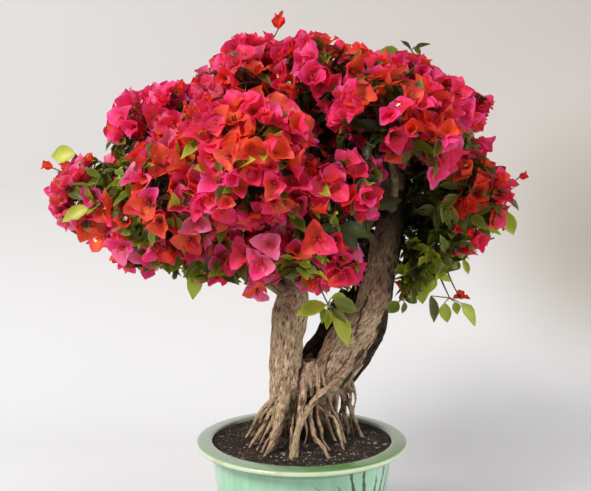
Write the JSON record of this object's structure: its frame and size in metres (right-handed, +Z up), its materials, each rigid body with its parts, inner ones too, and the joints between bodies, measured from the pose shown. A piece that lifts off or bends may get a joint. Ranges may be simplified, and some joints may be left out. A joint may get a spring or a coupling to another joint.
{
  "type": "bougainvillea bonsai in its pot",
  "caption": "Bougainvillea bonsai with fused trunks on bared roots and a dense crown of papery blooms, in a round glazed pot filled with soil; it stands on the pot's flat foot.",
  "frame": {"origin": "centre of the pot's flat underside", "axes": "+Z up the tree, which is its longest side; -Y towards the front of the tree, +X to the right as seen from the front"},
  "size_m": [0.6714, 0.4694, 0.7768],
  "materials": {
    "glaze": "glossy pale green glaze, paler on the rim and pooling darker under it, with a few painted brush strokes",
    "soil": "dark granular potting soil with a few pale grains",
    "bark": "grey-brown bark with interlaced lengthwise ridges and pale highlights",
    "dark_bark": "dark weathered bark",
    "bough_bark": "brown bark, finely ridged",
    "blossom": "papery magenta and coral bracts among yellow-green leaves"
  },
  "bodies": {
    "root": {"pot": "glaze", "soil": "soil", "root_flare": "bark", "left_trunk": "bark", "main_trunk": "bark", "back_trunk": "dark_bark", "bough_top": "bough_bark", "bough_top_right": "bough_bark", "bough_front_right": "bough_bark", "bough_front_mid": "bough_bark", "bough_right_low": "bough_bark", "bough_right": "bough_bark", "bough_top_front": "bough_bark", "bough_back_top": "bough_bark", "bough_back_right": "bough_bark", "bough_back_low": "bough_bark", "bough_left_tip": "bough_bark", "bough_front_centre": "bough_bark", "bough_back_left": "bough_bark", "bough_left_shelf": "bough_bark", "bough_left_mid": "bough_bark", "bough_left_low": "bough_bark", "bough_low_mid": "bough_bark", "bough_front_low": "bough_bark", "foliage_top": "blossom", "foliage_top_right": "blossom", "foliage_front_right": "blossom", "foliage_front_mid": "blossom", "foliage_right_low": "blossom", "foliage_right": "blossom", "foliage_top_front": "blossom", "foliage_back_top": "blossom", "foliage_back_right": "blossom", "foliage_back_low": "blossom", "foliage_left_tip": "blossom", "foliage_front_centre": "blossom", "foliage_back_left": "blossom", "foliage_left_shelf": "blossom", "foliage_left_mid": "blossom", "foliage_left_low": "blossom", "foliage_low_mid": "blossom", "foliage_front_low": "blossom"}
  },
  "joints": []
}
